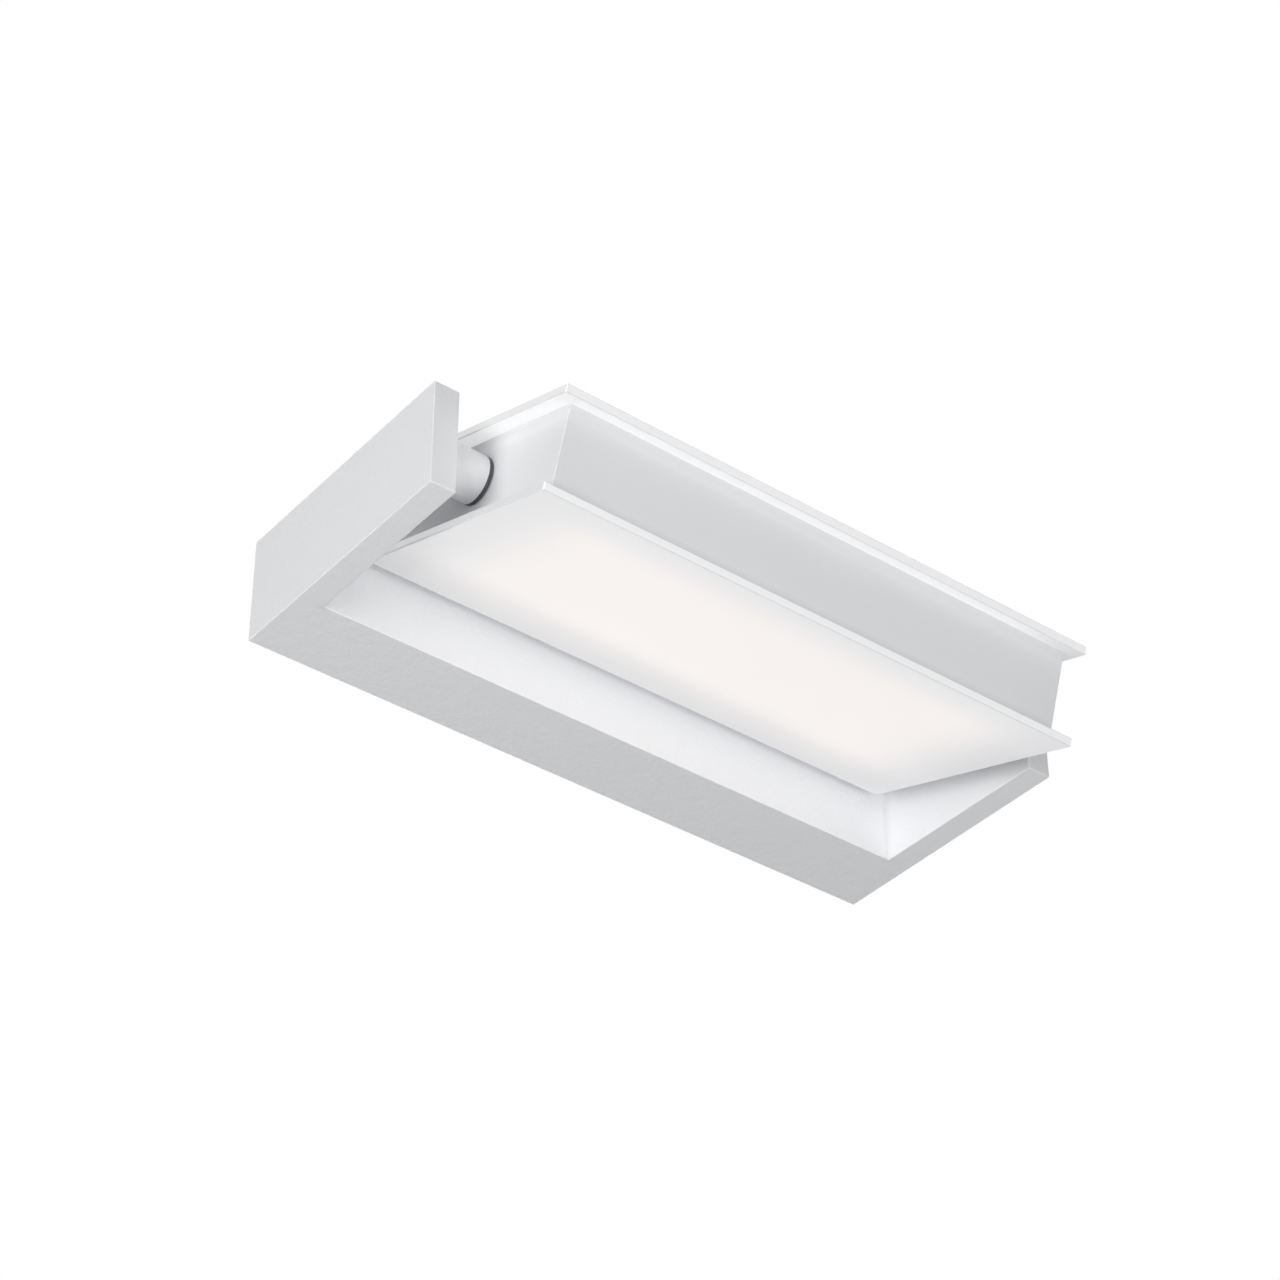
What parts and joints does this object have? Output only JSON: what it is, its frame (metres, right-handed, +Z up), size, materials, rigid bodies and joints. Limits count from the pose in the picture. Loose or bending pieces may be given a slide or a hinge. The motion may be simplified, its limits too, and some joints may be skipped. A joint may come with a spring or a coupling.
{
  "type": "wall light",
  "caption": "Wall light: a U-shaped bracket carries a tilting box head between its arms, which glows through an opal plate above and one below.",
  "frame": {"origin": "middle of the bracket's rear face, which lies on the wall", "axes": "+Z up, +Y into the wall, the room is toward -Y, +X to the right for someone who faces the wall"},
  "size_m": [0.25, 0.1395, 0.0644],
  "materials": {
    "bracket_paint": "white fine-texture powder coat",
    "frame_paint": "white matt powder coat",
    "opal_plate": "opal acrylic, satin, lit warm white from behind",
    "dark_nylon": "dark grey nylon",
    "zinc_steel": "zinc-plated",
    "bare_aluminium": "mill finish",
    "black_rubber": "matt black",
    "white_plastic": "satin white",
    "board_mask": "white solder mask",
    "brown_sleeve": "brown sleeve",
    "blue_sleeve": "blue sleeve",
    "clear_sleeve": "pale grey sleeve"
  },
  "bodies": {
    "bracket": {"back_housing": "bracket_paint", "arm_left": "bracket_paint", "arm_right": "bracket_paint", "pivot_collar_left": "bracket_paint", "pivot_collar_right": "bracket_paint", "friction_washer_left": "dark_nylon", "friction_washer_right": "dark_nylon", "wall_plate": "zinc_steel", "earth_screw": "zinc_steel", "terminal_fixing_screw": "zinc_steel", "arm_screw_left_lower": "zinc_steel", "arm_screw_left_upper": "zinc_steel", "arm_screw_right_lower": "zinc_steel", "arm_screw_right_upper": "zinc_steel", "housing_screw_left": "zinc_steel", "housing_screw_right": "zinc_steel", "driver_screw_left": "zinc_steel", "driver_screw_right": "zinc_steel", "clamp_screw_neutral_lamp": "zinc_steel", "clamp_screw_neutral_mains": "zinc_steel", "clamp_screw_live_lamp": "zinc_steel", "clamp_screw_live_mains": "zinc_steel", "pivot_tube_left": "zinc_steel", "pivot_tube_right": "zinc_steel", "disc_spring_left": "zinc_steel", "disc_spring_right": "zinc_steel", "pivot_nut_left": "zinc_steel", "pivot_nut_right": "zinc_steel", "stop_washer": "zinc_steel", "cable_grommet": "black_rubber", "terminal_block": "white_plastic", "driver_case": "white_plastic", "driver_lid": "white_plastic", "live_lead": "brown_sleeve", "neutral_lead": "blue_sleeve", "output_lead": "clear_sleeve"},
    "head": {"frame_rail_front": "frame_paint", "frame_rail_back": "frame_paint", "frame_end_left": "frame_paint", "frame_end_right": "frame_paint", "stop_pin_a": "zinc_steel", "stop_pin_b": "zinc_steel", "corner_key_left_front": "zinc_steel", "corner_key_left_back": "zinc_steel", "corner_key_right_front": "zinc_steel", "corner_key_right_back": "zinc_steel", "board_screw_upper_left": "zinc_steel", "board_screw_upper_right": "zinc_steel", "board_screw_lower_left": "zinc_steel", "board_screw_lower_right": "zinc_steel", "heat_spreader": "bare_aluminium", "led_board_upper": "board_mask", "led_board_lower": "board_mask", "reflector_sheet_upper": "white_plastic", "reflector_sheet_lower": "white_plastic", "board_connector_upper": "white_plastic", "board_connector_lower": "white_plastic", "diffuser_upper": "opal_plate", "diffuser_lower": "opal_plate", "head_lead": "clear_sleeve"}
  },
  "joints": [
    {"name": "head_tilt", "type": "hinge", "parent": "bracket", "child": "head", "pos_m": [0, -0.0877, 0], "axis": [1, 0, 0], "range_deg": [-108.7, 71.3]}
  ]
}
